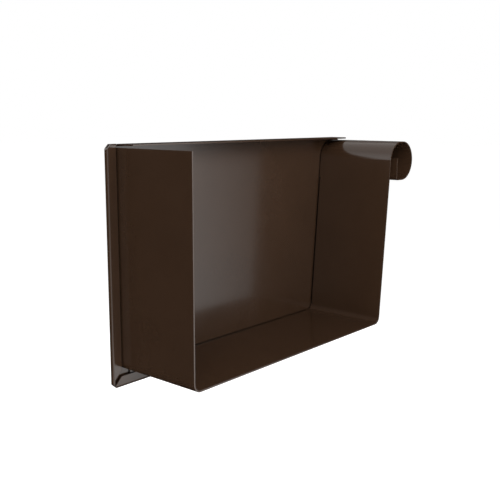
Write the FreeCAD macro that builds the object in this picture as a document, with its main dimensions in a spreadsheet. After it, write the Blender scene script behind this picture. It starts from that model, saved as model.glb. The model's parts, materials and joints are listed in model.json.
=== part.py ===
import FreeCAD
import Part
import Sketcher
import os

# Rectangular gutter end cap: a folded collar with a rolled front bead, seamed to a flat end plate.
# Millimetres. X runs from the rear wall to the front bead, Y from the open end to the end plate, Z is up.
# The origin is the middle of the bottom's underside, on the inner face of the end plate.

DIMENSIONS = {
    # Sheet and channel section of the collar (front_flare in degrees from upright)
    "sheet_thickness": 0.6,
    "bottom_width": 120.0,
    "wall_height": 82.2,
    "collar_depth": 38.4,
    "bend_radius": 2.6,
    "front_flare": 4.6,
    # Rolled bead on top of the front wall, with its turned-up return lip
    "bead_height": 17.5,
    "bead_crown": 2.25,
    "bead_floor": 3.5,
    "lip_bend": 0.9,
    "lip_rise": 8.4,
    "bead_end_gap": 0.3,
    # Outward flange at the collar's closed end, with slits beside each flange
    "flange_bend": 0.4,
    "flange_relief": 0.8,
    # Folded seam: how far the end plate stands out past each wall, and its flaps
    "seam_rear": 4.7,
    "seam_bottom": 6.2,
    "seam_front": 5.5,
    "seam_clearance": 0.05,
    "flap_gap_rear": 0.1,
    "flap_gap_bottom": 1.6,
    "flap_gap_front": 0.9,
    "mitre_gap": 1.7,
    "corner_trim": 0.2,
    # Top edge of the end plate, turned inward between two slits, and the ear that covers the bead's end
    "plate_rise": 1.3,
    "top_flange_depth": 8.6,
    "top_flange_bend": 0.4,
    "top_flange_inset": 1.0,
    "top_flange_slit": 0.2,
    "ear_margin": 0.8,
    "hem_relief": 1.0,
}

# Sizes worked out from the driving dimensions, as expressions of the sheet
THICKNESS = "Sizes.sheet_thickness"
HALF_WIDTH = "(Sizes.bottom_width / 2)"
SIN_FLARE = "sin(Sizes.front_flare)"
COS_FLARE = "cos(Sizes.front_flare)"
TAN_FLARE = "tan(Sizes.front_flare)"
OUTER_BEND = "(Sizes.bend_radius + Sizes.sheet_thickness)"
MIDDLE_BEND = "(Sizes.bend_radius + Sizes.sheet_thickness / 2)"
FRONT_SETBACK = f"({OUTER_BEND} * (1 - {SIN_FLARE}) / {COS_FLARE})"
BEAD_RADIUS = "(Sizes.bead_height / 2)"
BEAD_MIDDLE = "((Sizes.bead_height - Sizes.sheet_thickness) / 2)"
BEAD_BOTTOM = "(Sizes.wall_height - Sizes.bead_height)"
BEAD_Z = f"(Sizes.wall_height - {BEAD_RADIUS})"
BEAD_X = f"({HALF_WIDTH} + {BEAD_Z} * {TAN_FLARE} + ({BEAD_RADIUS} - {THICKNESS}) / {COS_FLARE})"
BEAD_FALL_X = f"({BEAD_X} + Sizes.bead_crown)"
LIP_BEND_X = f"({BEAD_FALL_X} - Sizes.bead_floor)"
LIP_MIDDLE = "(Sizes.lip_bend + Sizes.sheet_thickness / 2)"
FLANGE_OUTER_BEND = "(Sizes.flange_bend + Sizes.sheet_thickness)"
FOLD_RADIUS = "((3 * Sizes.sheet_thickness + Sizes.seam_clearance) / 2)"
CORNER_CUT = f"(2 * {FOLD_RADIUS} + Sizes.corner_trim)"
PLATE_TOP = "(Sizes.wall_height + Sizes.plate_rise)"
TOP_BEND = f"({PLATE_TOP} - {THICKNESS} - Sizes.top_flange_bend)"
TOP_FLANGE_START = f"(Sizes.top_flange_inset - {HALF_WIDTH})"
TOP_FLANGE_END = BEAD_X
REAR_FOLD = f"(-{HALF_WIDTH} - Sizes.seam_rear + {FOLD_RADIUS})"
BOTTOM_FOLD = f"({FOLD_RADIUS} - Sizes.seam_bottom)"
EAR_BOTTOM = f"({BEAD_BOTTOM} - Sizes.ear_margin)"
EAR_TOP = "(Sizes.wall_height + Sizes.ear_margin)"

# Unit directions in the end plate's plane, as (X, Z)
LEFTWARD = ("-1", "0")
RIGHTWARD = ("1", "0")
DOWNWARD = ("0", "-1")
UPWARD = ("0", "1")
UP_FRONT_WALL = (SIN_FLARE, COS_FLARE)

doc = FreeCAD.newDocument("gutter_end_cap")
sheet = doc.addObject("Spreadsheet::Sheet", "Sizes")
for row, (alias, value) in enumerate(DIMENSIONS.items(), start=1):
    sheet.set(f"A{row}", alias)
    sheet.set(f"B{row}", str(value))
    sheet.setAlias(f"B{row}", alias)
doc.recompute()


def moved(point, direction, length):
    """The point reached from another one by a length along a direction."""
    return tuple(f"({start} + ({length}) * ({step}))" for start, step in zip(point, direction))


def front_line(offset, height):
    """The point at a height on a line parallel to the front wall, an offset outside its outer face."""
    return (f"({HALF_WIDTH} + ({offset}) / {COS_FLARE} + ({height}) * {TAN_FLARE})", height)


def new_body(name):
    """An empty body whose label names the sub-part."""
    body = doc.addObject("PartDesign::Body", name)
    body.Label = name
    return body


def new_sketch(body, name, plane, base=("0", "0", "0"), turn="0"):
    """A sketch on an origin plane, shifted by base and turned about the Y axis by an angle in degrees."""
    sketch = body.newObject("Sketcher::SketchObject", name)
    support = next(item for item in body.Origin.OriginFeatures if item.Role == plane)
    sketch.AttachmentSupport = [(support, "")]
    sketch.MapMode = "FlatFace"
    for axis, step in zip("xyz", base):
        sketch.setExpression(f"AttachmentOffset.Base.{axis}", step)
    for axis, part in zip("xyz", ("0", "1", "0")):
        sketch.setExpression(f"AttachmentOffset.Rotation.Axis.{axis}", part)
    sketch.setExpression("AttachmentOffset.Rotation.Angle", f"({turn}) * 1 deg")
    return sketch


def bind(sketch, kind, geometry, position, expression):
    """Ties one coordinate of a sketch point to an expression of the sheet."""
    value = sheet.evalExpression(expression)
    index = sketch.addConstraint(Sketcher.Constraint(kind, -1, 1, geometry, position, value))
    sketch.setExpression(f"Constraints[{index}]", expression)


def draw(sketch, corners, arcs=None, closed=True):
    """Draws lines from corner to corner, every corner tied to the sheet.

    arcs maps the number of an edge to its arc: the centre's two coordinates,
    and left or right for the turn.
    """
    arcs = arcs or {}
    points = [FreeCAD.Vector(*[sheet.evalExpression(part) for part in corner], 0) for corner in corners]
    edges = len(corners) if closed else len(corners) - 1
    first = sketch.GeometryCount
    ends = []
    for number in range(edges):
        start = points[number]
        end = points[(number + 1) % len(points)]
        if number not in arcs:
            sketch.addGeometry(Part.LineSegment(start, end), False)
            ends.append((1, 2))
            continue
        centre_x, centre_y, turn = arcs[number]
        centre = FreeCAD.Vector(sheet.evalExpression(centre_x), sheet.evalExpression(centre_y), 0)
        circle = Part.Circle(centre, FreeCAD.Vector(0, 0, 1), (start - centre).Length)
        low, high = (start, end) if turn == "left" else (end, start)
        sketch.addGeometry(Part.ArcOfCircle(circle, circle.parameter(low), circle.parameter(high)), False)
        ends.append((1, 2) if turn == "left" else (2, 1))
    for number in range(edges if closed else edges - 1):
        following = (number + 1) % edges
        sketch.addConstraint(Sketcher.Constraint(
            "Coincident", first + number, ends[number][1], first + following, ends[following][0]))
    for number, corner in enumerate(corners):
        edge = min(number, edges - 1)
        position = ends[edge][0] if number < edges else ends[edge][1]
        bind(sketch, "DistanceX", first + edge, position, corner[0])
        bind(sketch, "DistanceY", first + edge, position, corner[1])
    for number, arc in arcs.items():
        bind(sketch, "DistanceX", first + number, 3, arc[0])


def add_pad(body, sketch, name, length):
    """Pads a sketch along its normal."""
    pad = body.newObject("PartDesign::Pad", name)
    pad.Profile = sketch
    pad.setExpression("Length", length)
    doc.recompute()
    return pad


def add_pocket(body, sketch, name, length=None, reverse=False):
    """Cuts a sketch into the body, through everything unless a length is given."""
    before = body.Shape.Volume
    pocket = body.newObject("PartDesign::Pocket", name)
    pocket.Profile = sketch
    pocket.Reversed = reverse
    if length is None:
        pocket.Type = "ThroughAll"
    else:
        pocket.setExpression("Length", length)
    doc.recompute()
    if not body.Shape.Volume < before:
        raise RuntimeError(f"{name} cuts nothing")
    return pocket


# Where each seamed side starts, how it is turned and how long its flange and its hem are.
# In the turned frame x points out of the wall from its outer face, y to the end plate, z along the side.
FLANGE_START = f"({OUTER_BEND} + Sizes.flange_relief)"
FRONT_FLANGE_START = f"({FRONT_SETBACK} + Sizes.flange_relief)"
FRONT_FLANGE_END = f"({BEAD_BOTTOM} / {COS_FLARE} - Sizes.flange_relief)"
FRONT_HEM_START = f"(({BOTTOM_FOLD} + (Sizes.seam_front - {FOLD_RADIUS}) * {SIN_FLARE}) / {COS_FLARE})"
FRONT_HEM_END = f"(({EAR_BOTTOM} - Sizes.hem_relief) / {COS_FLARE})"
FRONT_CORNER = (f"{HALF_WIDTH}", "0")
FRONT_FOLD_CORNER = front_line(f"(Sizes.seam_front - {FOLD_RADIUS})", BOTTOM_FOLD)
SIDES = {
    "rear": {
        "turn": "180",
        "seam": "Sizes.seam_rear",
        "flap_gap": "Sizes.flap_gap_rear",
        "flange_start": (f"-{HALF_WIDTH}", "Sizes.wall_height"),
        "flange_length": f"Sizes.wall_height - {FLANGE_START}",
        "hem_start": (f"-{HALF_WIDTH}", PLATE_TOP),
        "hem_length": f"{PLATE_TOP} - {BOTTOM_FOLD}",
    },
    "bottom": {
        "turn": "90",
        "seam": "Sizes.seam_bottom",
        "flap_gap": "Sizes.flap_gap_bottom",
        "flange_start": (f"{FLANGE_START} - {HALF_WIDTH}", "0"),
        "flange_length": f"Sizes.bottom_width - {FLANGE_START} - {FRONT_FLANGE_START}",
        "hem_start": (REAR_FOLD, "0"),
        "hem_length": f"{FRONT_FOLD_CORNER[0]} - {REAR_FOLD}",
    },
    "front": {
        "turn": "Sizes.front_flare",
        "seam": "Sizes.seam_front",
        "flap_gap": "Sizes.flap_gap_front",
        "flange_start": moved(FRONT_CORNER, UP_FRONT_WALL, FRONT_FLANGE_START),
        "flange_length": f"{FRONT_FLANGE_END} - {FRONT_FLANGE_START}",
        "hem_start": moved(FRONT_CORNER, UP_FRONT_WALL, FRONT_HEM_START),
        "hem_length": f"{FRONT_HEM_END} - {FRONT_HEM_START}",
    },
}


def sweep_channel(body):
    """The strip's section, from the rear wall's top to the bead's lip, swept by the sheet's cut edge."""
    path = new_sketch(body, "channel_path", "XZ_Plane")
    rear_x = f"(-{HALF_WIDTH} + {THICKNESS} / 2)"
    rear_bend_x = f"(-{HALF_WIDTH} + {OUTER_BEND})"
    front_bend_x = f"({HALF_WIDTH} - {FRONT_SETBACK})"
    bead_floor_z = f"({BEAD_Z} - {BEAD_MIDDLE})"
    bead_crown_z = f"({BEAD_Z} + {BEAD_MIDDLE})"
    lip_x = f"({LIP_BEND_X} - {LIP_MIDDLE})"
    lip_bend_z = f"({bead_floor_z} + {LIP_MIDDLE})"
    corners = [
        (rear_x, "Sizes.wall_height"),
        (rear_x, OUTER_BEND),
        (rear_bend_x, f"{THICKNESS} / 2"),
        (front_bend_x, f"{THICKNESS} / 2"),
        (f"{front_bend_x} + {MIDDLE_BEND} * {COS_FLARE}", f"{OUTER_BEND} - {MIDDLE_BEND} * {SIN_FLARE}"),
        (f"{BEAD_X} - {BEAD_MIDDLE} * {COS_FLARE}", f"{BEAD_Z} + {BEAD_MIDDLE} * {SIN_FLARE}"),
        (BEAD_X, bead_crown_z),
        (BEAD_FALL_X, bead_crown_z),
        (BEAD_FALL_X, bead_floor_z),
        (LIP_BEND_X, bead_floor_z),
        (lip_x, lip_bend_z),
        (lip_x, f"{lip_bend_z} + Sizes.lip_rise"),
    ]
    arcs = {
        1: (rear_bend_x, OUTER_BEND, "left"),
        3: (front_bend_x, OUTER_BEND, "left"),
        5: (BEAD_X, BEAD_Z, "right"),
        7: (BEAD_FALL_X, BEAD_Z, "right"),
        9: (LIP_BEND_X, lip_bend_z, "right"),
    }
    draw(path, corners, arcs, closed=False)
    cut_edge = new_sketch(body, "sheet_edge", "XY_Plane", ("0", "0", "Sizes.wall_height"))
    rear_face = f"-{HALF_WIDTH}"
    draw(cut_edge, [
        (rear_face, "-Sizes.collar_depth"),
        (f"{rear_face} + {THICKNESS}", "-Sizes.collar_depth"),
        (f"{rear_face} + {THICKNESS}", "-Sizes.bead_end_gap"),
        (rear_face, "-Sizes.bead_end_gap"),
    ])
    doc.recompute()
    sweep = body.newObject("PartDesign::AdditivePipe", "channel")
    sweep.Profile = cut_edge
    sweep.Spine = (path, [f"Edge{number + 1}" for number in range(len(corners) - 1)])
    doc.recompute()


def cut_flange_stretches(body):
    """Takes the three flat stretches of the strip's end away, where the flanges turn out."""
    notches = new_sketch(body, "flange_stretches", "XZ_Plane")
    rear_face = f"-{HALF_WIDTH}"
    past_rear = f"{rear_face} - {THICKNESS}"
    inside_rear = f"{rear_face} + 2 * {THICKNESS}"
    past_top = f"Sizes.wall_height + {THICKNESS}"
    draw(notches, [
        (past_rear, OUTER_BEND),
        (inside_rear, OUTER_BEND),
        (inside_rear, past_top),
        (past_rear, past_top),
    ])
    start_x = f"{rear_face} + {OUTER_BEND}"
    end_x = f"{HALF_WIDTH} - {FRONT_SETBACK}"
    draw(notches, [
        (start_x, f"-{THICKNESS}"),
        (end_x, f"-{THICKNESS}"),
        (end_x, f"2 * {THICKNESS}"),
        (start_x, f"2 * {THICKNESS}"),
    ])
    across_wall = (COS_FLARE, f"-{SIN_FLARE}")
    low = moved(FRONT_CORNER, UP_FRONT_WALL, FRONT_SETBACK)
    high = moved(FRONT_CORNER, UP_FRONT_WALL, f"{BEAD_BOTTOM} / {COS_FLARE}")
    draw(notches, [
        moved(low, across_wall, f"-2 * {THICKNESS}"),
        moved(low, across_wall, THICKNESS),
        moved(high, across_wall, THICKNESS),
        moved(high, across_wall, f"-2 * {THICKNESS}"),
    ])
    doc.recompute()
    add_pocket(body, notches, "flange_cut", FLANGE_OUTER_BEND, reverse=True)


def add_flange(body, name, side):
    """One outward flange with its bend, along a seamed side."""
    base = (side["flange_start"][0], "0", side["flange_start"][1])
    section = new_sketch(body, f"{name}_flange_section", "XY_Plane", base, side["turn"])
    edge = f"({side['seam']} - {FOLD_RADIUS})"
    corners = [
        (f"-{THICKNESS}", f"-{FLANGE_OUTER_BEND}"),
        ("0", f"-{FLANGE_OUTER_BEND}"),
        ("Sizes.flange_bend", f"-{THICKNESS}"),
        (edge, f"-{THICKNESS}"),
        (edge, "0"),
        ("Sizes.flange_bend", "0"),
    ]
    arcs = {
        1: ("Sizes.flange_bend", f"-{FLANGE_OUTER_BEND}", "right"),
        5: ("Sizes.flange_bend", f"-{FLANGE_OUTER_BEND}", "left"),
    }
    draw(section, corners, arcs)
    doc.recompute()
    add_pad(body, section, f"{name}_flange", side["flange_length"])


def add_flat(body):
    """The end plate's flat, out to its fold lines, with the ear that covers the bead's end."""
    outline = new_sketch(body, "flat_outline", "XZ_Plane")
    slit_start = f"({TOP_FLANGE_START} - Sizes.top_flange_slit)"
    slit_end = f"({TOP_FLANGE_END} + Sizes.top_flange_slit)"
    corners = [
        (REAR_FOLD, BOTTOM_FOLD),
        FRONT_FOLD_CORNER,
        front_line(f"(Sizes.seam_front - {FOLD_RADIUS})", EAR_BOTTOM),
        (BEAD_FALL_X, EAR_BOTTOM),
        (BEAD_FALL_X, EAR_TOP),
        (slit_end, EAR_TOP),
        (slit_end, TOP_BEND),
        (slit_start, TOP_BEND),
        (slit_start, PLATE_TOP),
        (REAR_FOLD, PLATE_TOP),
    ]
    draw(outline, corners, {3: (BEAD_FALL_X, BEAD_Z, "left")})
    doc.recompute()
    flat = add_pad(body, outline, "flat", THICKNESS)
    flat.Reversed = True
    doc.recompute()


def add_hem(body, name, side):
    """One margin of the end plate, folded forward over the collar's flange."""
    base = (side["hem_start"][0], "0", side["hem_start"][1])
    section = new_sketch(body, f"{name}_hem_section", "XY_Plane", base, side["turn"])
    fold = f"({side['seam']} - {FOLD_RADIUS})"
    free_edge = f"(Sizes.flange_bend + {side['flap_gap']})"
    middle = f"({THICKNESS} - {FOLD_RADIUS})"
    flap_front = f"({THICKNESS} - 2 * {FOLD_RADIUS})"
    flap_back = f"({flap_front} + {THICKNESS})"
    corners = [
        (fold, THICKNESS),
        (fold, flap_front),
        (free_edge, flap_front),
        (free_edge, flap_back),
        (fold, flap_back),
        (fold, "0"),
    ]
    draw(section, corners, {0: (fold, middle, "right"), 4: (fold, middle, "left")})
    doc.recompute()
    add_pad(body, section, f"{name}_hem", side["hem_length"])


def add_top_flange(body):
    """The end plate's top edge, turned inward over the gutter's end from the rear wall to the bead."""
    section = new_sketch(body, "top_flange_section", "XY_Plane", (TOP_FLANGE_END, "0", "0"), "-90")
    bend_end = "(-Sizes.top_flange_bend)"
    underside = f"({PLATE_TOP} - {THICKNESS})"
    corners = [
        (TOP_BEND, "0"),
        (TOP_BEND, THICKNESS),
        (PLATE_TOP, bend_end),
        (PLATE_TOP, "-Sizes.top_flange_depth"),
        (underside, "-Sizes.top_flange_depth"),
        (underside, bend_end),
    ]
    draw(section, corners, {1: (TOP_BEND, bend_end, "right"), 5: (TOP_BEND, bend_end, "left")})
    doc.recompute()
    add_pad(body, section, "top_flange", f"{TOP_FLANGE_END} - {TOP_FLANGE_START}")


def trim_corners(body):
    """Mitres the flaps at the plate's corners and cuts its folded corners off."""
    flap_face = f"2 * {FOLD_RADIUS} - {THICKNESS}"
    mitres = new_sketch(body, "mitre_gaps", "XZ_Plane", ("0", "0", flap_face))
    reach = "(Sizes.seam_rear + Sizes.seam_bottom + Sizes.seam_front)"
    front_half_angle = "(45 + Sizes.front_flare / 2)"
    for corner, along, half_angle, inward in (
        ((REAR_FOLD, BOTTOM_FOLD), UPWARD, "45", ("cos(45)", "sin(45)")),
        (FRONT_FOLD_CORNER, UP_FRONT_WALL, front_half_angle,
         (f"-cos({front_half_angle})", f"sin({front_half_angle})")),
    ):
        side_end = moved(corner, along, f"Sizes.mitre_gap / sin({half_angle})")
        draw(mitres, [corner, moved(corner, inward, reach), moved(side_end, inward, reach), side_end])
    doc.recompute()
    add_pocket(body, mitres, "flap_mitres", THICKNESS)

    cuts = new_sketch(body, "corner_cuts", "XZ_Plane", ("0", "0", flap_face))
    rear_edge = f"(-{HALF_WIDTH} - Sizes.seam_rear)"
    for corner, across, along in (
        ((rear_edge, "-Sizes.seam_bottom"), RIGHTWARD, UPWARD),
        (front_line("Sizes.seam_front", "-Sizes.seam_bottom"), LEFTWARD, UP_FRONT_WALL),
        ((rear_edge, PLATE_TOP), RIGHTWARD, DOWNWARD),
    ):
        outside = moved(moved(corner, across, f"-{CORNER_CUT}"), along, f"-{CORNER_CUT}")
        far_across = moved(moved(corner, across, f"2 * {CORNER_CUT}"), along, f"-{CORNER_CUT}")
        far_along = moved(moved(corner, along, f"2 * {CORNER_CUT}"), across, f"-{CORNER_CUT}")
        draw(cuts, [outside, far_across, far_along])
    doc.recompute()
    add_pocket(body, cuts, "corner_trims")


def make_collar():
    """The folded strip: channel, bead, lip and flanges."""
    body = new_body("collar")
    sweep_channel(body)
    cut_flange_stretches(body)
    for name, side in SIDES.items():
        add_flange(body, name, side)
    return body


def make_end_plate():
    """The flat plate with its folded margins."""
    body = new_body("end_plate")
    add_flat(body)
    for name, side in SIDES.items():
        add_hem(body, name, side)
    add_top_flange(body)
    trim_corners(body)
    return body


sub_parts = [make_collar(), make_end_plate()]
doc.recompute()
for item in doc.Objects:
    if "Invalid" in item.State or "Error" in item.State:
        raise RuntimeError(f"{item.Label} failed: {item.State}")
for sub_part in sub_parts:
    if sub_part.Shape.isNull() or not sub_part.Shape.isValid() or len(sub_part.Shape.Solids) != 1:
        raise RuntimeError(f"{sub_part.Label} has no single valid solid")
os.makedirs("parts", exist_ok=True)
for sub_part in sub_parts:
    sub_part.Shape.exportStep(f"parts/{sub_part.Label}.step")
    box = sub_part.Shape.BoundBox
    print(sub_part.Label, "volume", round(sub_part.Shape.Volume, 1), "box", box)
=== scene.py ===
import bpy
import json
import math
from mathutils import Matrix, Vector

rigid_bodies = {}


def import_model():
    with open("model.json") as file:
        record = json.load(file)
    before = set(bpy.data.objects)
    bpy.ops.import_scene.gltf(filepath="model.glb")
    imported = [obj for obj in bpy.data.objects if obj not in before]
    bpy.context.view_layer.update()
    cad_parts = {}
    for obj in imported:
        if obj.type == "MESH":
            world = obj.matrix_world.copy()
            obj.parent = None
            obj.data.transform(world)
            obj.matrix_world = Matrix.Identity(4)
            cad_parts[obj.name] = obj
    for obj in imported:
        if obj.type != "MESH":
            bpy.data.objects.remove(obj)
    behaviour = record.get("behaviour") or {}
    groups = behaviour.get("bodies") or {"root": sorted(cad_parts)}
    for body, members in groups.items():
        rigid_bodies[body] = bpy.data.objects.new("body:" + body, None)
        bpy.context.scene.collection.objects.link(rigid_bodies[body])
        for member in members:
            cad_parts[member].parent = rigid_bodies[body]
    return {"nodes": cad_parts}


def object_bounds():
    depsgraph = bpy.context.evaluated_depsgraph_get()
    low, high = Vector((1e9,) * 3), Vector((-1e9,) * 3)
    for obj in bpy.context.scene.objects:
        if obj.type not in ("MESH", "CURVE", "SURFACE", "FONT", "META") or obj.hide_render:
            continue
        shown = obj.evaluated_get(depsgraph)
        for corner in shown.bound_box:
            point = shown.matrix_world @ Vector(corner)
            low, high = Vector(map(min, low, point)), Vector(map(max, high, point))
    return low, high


# Gutter end cap of folded, dark brown coated steel before a white background. Metres, in the CAD frame.

for leftover in list(bpy.data.objects):
    bpy.data.objects.remove(leftover)
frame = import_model()
cad_low, cad_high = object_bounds()
scene = bpy.context.scene
scene.view_settings.view_transform = "Standard"

# Camera at the photograph's viewing angle: degrees, metres, and millimetres for the lens
AZIMUTH = -49.49
ELEVATION = 10.064
ROLL = 0.22
DISTANCE = 0.30098
TARGET = Vector((-0.007755, -0.018412, 0.04068))
LENS = 54.28
SENSOR = 36.0
CLIP_NEAR = 0.01
CLIP_FAR = 50.0

# White stage: the floor lies well under the part, which hangs on its gutter
FLOOR_DROP = 0.15
FLOOR_SIZE = 12.0
FLOOR_TONE = 0.85
FLOOR_LIFT = 0.54
AMBIENT = 0.55

# Surroundings that only reflections see: a dark table, and bands round the part between bearings in degrees
SURROUND_TONE = 0.004
TABLE_LIFT = 0.001
TABLE_HALF = 0.30
RING_RADIUS = 0.32
RING_STEPS = 48
RIM_FROM = -36.0
RIM_TO = 215.0
RIM_TOP = 0.145
FLAG_TO = 58.0
FLAG_TOP = 0.33
FLAG_LIGHT = 0.25
HOOD_FROM = -110.0
VISOR_FROM = -48.0
VISOR_LOW = 0.062
SKY_FROM = 95.0
SKY_TO = 170.0
SKY_LOW = 0.17
SKY_TOP = 0.40
SKY_LIGHT = 1.8

# Card in front of the part: its light falls from its left to a knee, then to nothing, and grows at its top
CARD_BEARING = -45.0
CARD_REACH = 0.36
CARD_LEFT = -0.25
CARD_FULL = -0.10
CARD_KNEE = 0.038
CARD_RIGHT = 0.060
CARD_TOP = 0.095
CARD_LIGHT = 2.65
CARD_KNEE_LIGHT = 0.55
CARD_LIFT_FROM = 0.035
CARD_LIFT_TO = 0.065
CARD_LIFT = 1.25

# Lamps: place, width, height and watts
LAMP_AIM = Vector((0.0, -0.02, 0.03))
LAMPS = {
    "front": (Vector((-0.025, -0.32, 0.17)), 0.20, 0.26, 0.61),
    "camera_side": (Vector((-0.42, -0.45, 0.40)), 0.40, 0.40, 2.90),
    "back_top": (Vector((-0.10, 0.45, 0.53)), 0.70, 0.70, 1.00),
    "right_fill": (Vector((0.45, 0.12, 0.25)), 0.50, 0.50, 1.60),
}

# Paint tones, linear
BROWN_DARK = (0.0315, 0.0163, 0.0089)
BROWN_LIGHT = (0.0375, 0.0197, 0.0111)
WORN = (0.072, 0.056, 0.047)
# The two seam tones are painted shade: dark paint that stands in for the shadow in tight seams and gaps
COLLAR_SEAM_SHADE = (0.0220, 0.0118, 0.0068)
PLATE_SEAM_SHADE = (0.0050, 0.0035, 0.0025)

# Paint patterns: features per metre, octaves and roughness of each noise
CLOUD = (38.0, 4.0, 0.55)
FLECK = (1900.0, 2.0, 0.6)
WEAR = (420.0, 3.0, 0.6)
SMUDGE = (85.0, 5.0, 0.6)
PEEL = (1300.0, 2.0, 0.5)
COLLAR_SHIFT = (0.0, 0.0, 0.0)
PLATE_SHIFT = (0.31, 0.17, 0.23)

# Paint surface: ranges go from the first value to the second
NONE_TO_FULL = (0.0, 1.0)
NOISE_RANGE = (0.3, 0.7)
FLECK_SHARE = 0.25
EDGE_RADIUS = 0.00018
EDGE_TURN = (0.97, 0.75)
WEAR_RANGE = (0.35, 0.65)
WEAR_SHARE = (0.25, 0.8)
# Reach and openness at which the painted seam shade darkens the paint
SEAM_REACH = 0.0012
SEAM_OPENING = (0.35, 0.85)
ROUGHNESS = (0.15, 0.19)
PEEL_STRENGTH = 0.22
PEEL_HEIGHT = 0.00002
PAINT_IOR = 1.5


def basis(azimuth, elevation):
    """Right, up and backward vectors of a camera that looks at the part from an angle in degrees."""
    a = math.radians(azimuth)
    e = math.radians(elevation)
    back = Vector((math.sin(a) * math.cos(e), -math.cos(a) * math.cos(e), math.sin(e)))
    right = Vector((math.cos(a), math.sin(a), 0.0))
    return right, back.cross(right), back


def make_camera():
    """The scene's camera, with no shift and no depth of field."""
    right, up, back = basis(AZIMUTH, ELEVATION)
    r = math.radians(ROLL)
    across = math.cos(r) * right + math.sin(r) * up
    upward = math.cos(r) * up - math.sin(r) * right
    data = bpy.data.cameras.new("camera")
    data.lens = LENS
    data.sensor_width = SENSOR
    data.clip_start = CLIP_NEAR
    data.clip_end = CLIP_FAR
    camera = bpy.data.objects.new("camera", data)
    scene.collection.objects.link(camera)
    turn = Matrix((across, upward, back)).transposed().to_4x4()
    camera.matrix_world = Matrix.Translation(TARGET + back * DISTANCE) @ turn
    scene.camera = camera


class Nodes:
    """A node tree, emptied, with short calls to add and link nodes."""

    def __init__(self, tree):
        self.tree = tree
        tree.nodes.clear()

    def feed(self, socket, value):
        """Links a socket to another node's output, or sets its value."""
        if isinstance(value, bpy.types.NodeSocket):
            self.tree.links.new(value, socket)
        else:
            socket.default_value = value

    def add(self, kind, inputs=None, **settings):
        """A node with its settings and its input values or links."""
        node = self.tree.nodes.new(kind)
        for key, value in settings.items():
            setattr(node, key, value)
        for key, value in (inputs or {}).items():
            self.feed(node.inputs[key], value)
        return node

    def place(self):
        """A point's place in the coordinates of its own object."""
        return self.add("ShaderNodeTexCoord").outputs["Object"]

    def height(self):
        """A point's height in the coordinates of its own object."""
        return self.add("ShaderNodeSeparateXYZ", {"Vector": self.place()}).outputs["Z"]

    def noise(self, pattern, shift):
        """Noise of a pattern over the part's own coordinates."""
        scale, octaves, roughness = pattern
        mapping = self.add("ShaderNodeMapping", {"Vector": self.place(), "Location": shift})
        inputs = {"Scale": scale, "Detail": octaves, "Roughness": roughness}
        inputs["Vector"] = mapping.outputs["Vector"]
        return self.add("ShaderNodeTexNoise", inputs).outputs["Fac"]

    def span(self, value, source, target):
        """A value's range mapped to another, clamped."""
        inputs = {"Value": value}
        inputs["From Min"], inputs["From Max"] = source
        inputs["To Min"], inputs["To Max"] = target
        return self.add("ShaderNodeMapRange", inputs).outputs["Result"]

    def mix(self, share, first, second):
        """A blend of two colours, each a link or a linear tone."""
        node = self.add("ShaderNodeMix", {"Factor": share}, data_type="RGBA")
        colours = [socket for socket in node.inputs if socket.type == "RGBA"]
        for socket, value in zip(colours, (first, second)):
            self.feed(socket, (*value, 1.0) if isinstance(value, tuple) else value)
        return next(socket for socket in node.outputs if socket.type == "RGBA")

    def math(self, operation, first, second):
        """A sum, product or other operation on two numbers."""
        return self.add("ShaderNodeMath", {0: first, 1: second}, operation=operation).outputs["Value"]

    def dot(self, first, second):
        """The dot product of two vectors."""
        inputs = {0: first, 1: second}
        return self.add("ShaderNodeVectorMath", inputs, operation="DOT_PRODUCT").outputs["Value"]

    def matt(self, tone):
        """A matt shader of one grey."""
        return self.add("ShaderNodeBsdfDiffuse", {"Color": (tone, tone, tone, 1.0)}).outputs["BSDF"]

    def light(self, strength):
        """A white light shader."""
        return self.add("ShaderNodeEmission", {"Strength": strength}).outputs["Emission"]

    def surface(self, shader):
        """Ends a material's tree in its shader."""
        self.add("ShaderNodeOutputMaterial", {"Surface": shader})


def new_material(name):
    """A material and the calls for its node tree."""
    material = bpy.data.materials.new(name)
    material.use_nodes = True
    return material, Nodes(material.node_tree)


def painted_steel(name, shift, seam_shade):
    """Coil-coated steel: mottled paint with a fine orange peel, paler on its edges, with painted shade in
    its seams.
    """
    material, n = new_material(name)
    cloud = n.math("MULTIPLY", n.noise(CLOUD, shift), 1.0 - FLECK_SHARE)
    fleck = n.math("MULTIPLY", n.noise(FLECK, shift), FLECK_SHARE)
    mottle = n.span(n.math("ADD", cloud, fleck), NOISE_RANGE, NONE_TO_FULL)
    paint = n.mix(mottle, BROWN_DARK, BROWN_LIGHT)

    rounded = n.add("ShaderNodeBevel", {"Radius": EDGE_RADIUS}, samples=6).outputs["Normal"]
    facing = n.add("ShaderNodeNewGeometry").outputs["Normal"]
    edge = n.span(n.dot(rounded, facing), EDGE_TURN, NONE_TO_FULL)
    patchy = n.span(n.noise(WEAR, shift), WEAR_RANGE, WEAR_SHARE)
    worn = n.mix(n.math("MULTIPLY", edge, patchy), paint, WORN)
    # Painted shade: the paint darkens to the seam tone where nearby surfaces close off the sky
    open_sky = n.add("ShaderNodeAmbientOcclusion", {"Distance": SEAM_REACH}, samples=8).outputs["AO"]
    colour = n.mix(n.span(open_sky, SEAM_OPENING, NONE_TO_FULL), seam_shade, worn)

    bump = n.add("ShaderNodeBump", {
        "Height": n.noise(PEEL, shift),
        "Strength": PEEL_STRENGTH,
        "Distance": PEEL_HEIGHT,
        "Normal": rounded,
    })
    shader = n.add("ShaderNodeBsdfPrincipled", {
        "Base Color": colour,
        "Roughness": n.span(n.noise(SMUDGE, shift), NOISE_RANGE, ROUGHNESS),
        "IOR": PAINT_IOR,
        "Normal": bump.outputs["Normal"],
    })
    n.surface(shader.outputs["BSDF"])
    return material


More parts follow.
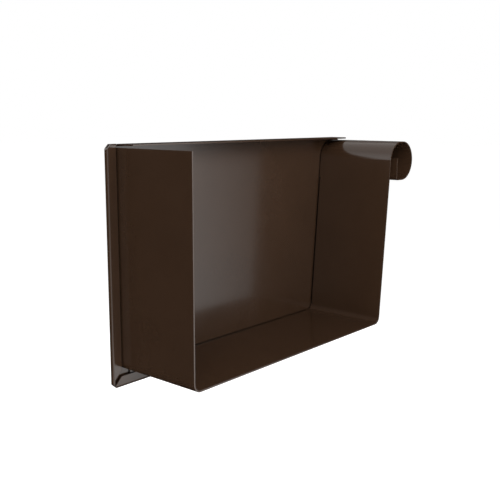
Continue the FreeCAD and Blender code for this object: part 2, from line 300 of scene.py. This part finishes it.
def seen_white(n):
    """1 for the rays that see the background: camera, glossy and transmission rays."""
    path = n.add("ShaderNodeLightPath")
    seen = n.math("MAXIMUM", path.outputs["Is Camera Ray"], path.outputs["Is Glossy Ray"])
    return n.math("MAXIMUM", seen, path.outputs["Is Transmission Ray"])


def floor_white():
    """Matt white that is lifted to the background's white where it is seen."""
    material, n = new_material("floor_white")
    lift = n.light(n.math("MULTIPLY", seen_white(n), FLOOR_LIFT))
    both = n.add("ShaderNodeAddShader", {0: n.matt(FLOOR_TONE), 1: lift})
    n.surface(both.outputs["Shader"])
    return material


def surround_dark():
    """The near black of the table, the rim, the hood and the visor."""
    material, n = new_material("surround_dark")
    n.surface(n.matt(SURROUND_TONE))
    return material


def flag_grey():
    """The flag's even light, dimmer than the background."""
    material, n = new_material("flag_grey")
    n.surface(n.light(FLAG_LIGHT))
    return material


def sky_glow():
    """A light that falls with height to the background's own white."""
    material, n = new_material("sky_glow")
    n.surface(n.light(n.span(n.height(), (SKY_LOW, SKY_TOP), (SKY_LIGHT, 1.0))))
    return material


def front_glow(along):
    """The front card's light, which fades along the card and grows near its top."""
    material, n = new_material("front_glow")
    across = n.dot(n.place(), along)
    wide = n.span(across, (CARD_FULL, CARD_KNEE), (CARD_LIGHT - CARD_KNEE_LIGHT, 0.0))
    narrow = n.span(across, (CARD_KNEE, CARD_RIGHT), (CARD_KNEE_LIGHT, 0.0))
    lift = n.span(n.height(), (CARD_LIFT_FROM, CARD_LIFT_TO), (1.0, CARD_LIFT))
    n.surface(n.light(n.math("MULTIPLY", n.math("ADD", wide, narrow), lift)))
    return material


def make_world():
    """White where it is seen, and a lower level for the light that it gives."""
    world = bpy.data.worlds.new("surroundings")
    world.use_nodes = True
    n = Nodes(world.node_tree)
    strength = n.span(seen_white(n), NONE_TO_FULL, (AMBIENT, 1.0))
    background = n.add("ShaderNodeBackground", {"Color": (1.0, 1.0, 1.0, 1.0), "Strength": strength})
    n.add("ShaderNodeOutputWorld", {"Surface": background.outputs["Background"]})
    scene.world = world


def stage_piece(name, corners, faces, material):
    """A mesh of the stage, which is no piece of the part."""
    mesh = bpy.data.meshes.new(name)
    mesh.from_pydata(corners, [], faces)
    mesh.materials.append(material)
    piece = bpy.data.objects.new(name, mesh)
    scene.collection.objects.link(piece)
    return piece


def panel(name, centre, across, upward, material):
    """A flat rectangle of the stage, given by its middle and its two half sides."""
    signs = ((-1, -1), (1, -1), (1, 1), (-1, 1))
    corners = [tuple(centre + s * across + t * upward) for s, t in signs]
    return stage_piece(name, corners, [(0, 1, 2, 3)], material)


def ring(name, first, last, bottom, top, material):
    """An upright band round the part between two bearings in degrees."""
    bearings = [math.radians(first + (last - first) * k / RING_STEPS) for k in range(RING_STEPS + 1)]
    circle = [(RING_RADIUS * math.cos(a), RING_RADIUS * math.sin(a)) for a in bearings]
    corners = [(x, y, z) for z in (bottom, top) for x, y in circle]
    count = len(circle)
    faces = [(k, k + 1, count + k + 1, count + k) for k in range(RING_STEPS)]
    return stage_piece(name, corners, faces, material)


def front_card(floor_z):
    """A light card before the part, from the floor up."""
    b = math.radians(CARD_BEARING)
    along = Vector((-math.sin(b), math.cos(b), 0.0))
    middle = CARD_REACH * Vector((math.cos(b), math.sin(b), 0.0)) + (CARD_LEFT + CARD_RIGHT) / 2 * along
    middle.z = (floor_z + CARD_TOP) / 2
    half_width = (CARD_RIGHT - CARD_LEFT) / 2 * along
    half_height = Vector((0.0, 0.0, (CARD_TOP - floor_z) / 2))
    return panel("front_card", middle, half_width, half_height, front_glow(along))


def mirrored_only(piece):
    """Leaves a piece of the stage to reflections alone."""
    piece.visible_camera = False
    piece.visible_diffuse = False
    piece.visible_shadow = False


def make_stage():
    """White floor and surroundings, with a dark table, bands and a card for the paint to mirror."""
    floor_z = cad_low.z - FLOOR_DROP
    half = FLOOR_SIZE / 2
    east = Vector((1.0, 0.0, 0.0))
    north = Vector((0.0, 1.0, 0.0))
    panel("floor", Vector((0.0, 0.0, floor_z)), half * east, half * north, floor_white())
    make_world()
    dark = surround_dark()
    table = Vector((0.0, 0.0, floor_z + TABLE_LIFT))
    mirrored_only(panel("table", table, TABLE_HALF * east, TABLE_HALF * north, dark))
    mirrored_only(ring("rim", RIM_FROM, RIM_TO, floor_z, RIM_TOP, dark))
    mirrored_only(ring("flag", RIM_FROM, FLAG_TO, RIM_TOP, FLAG_TOP, flag_grey()))
    mirrored_only(ring("hood", HOOD_FROM, RIM_FROM, CARD_TOP, FLAG_TOP, dark))
    mirrored_only(ring("visor", VISOR_FROM, RIM_FROM, VISOR_LOW, CARD_TOP, dark))
    mirrored_only(ring("sky", SKY_FROM, SKY_TO, RIM_TOP, SKY_TOP, sky_glow()))
    mirrored_only(front_card(floor_z))


def softbox(name, position, width, height, power):
    """A soft rectangular lamp, unseen by the camera and by reflections."""
    data = bpy.data.lights.new(name, "AREA")
    data.shape = "RECTANGLE"
    data.size = width
    data.size_y = height
    data.energy = power
    lamp = bpy.data.objects.new(name, data)
    lamp.location = position
    lamp.rotation_mode = "QUATERNION"
    lamp.rotation_quaternion = (LAMP_AIM - position).to_track_quat("-Z", "Y")
    lamp.visible_camera = False
    lamp.visible_glossy = False
    scene.collection.objects.link(lamp)


make_camera()
make_stage()
for lamp_name, settings in LAMPS.items():
    softbox(lamp_name, *settings)
collar = frame["nodes"]["collar"]
end_plate = frame["nodes"]["end_plate"]
# Each paint gets its own painted seam shade tone, darker on the plate
collar.material_slots[0].material = painted_steel("collar_paint", COLLAR_SHIFT, COLLAR_SEAM_SHADE)
end_plate.material_slots[0].material = painted_steel("plate_paint", PLATE_SHIFT, PLATE_SEAM_SHADE)
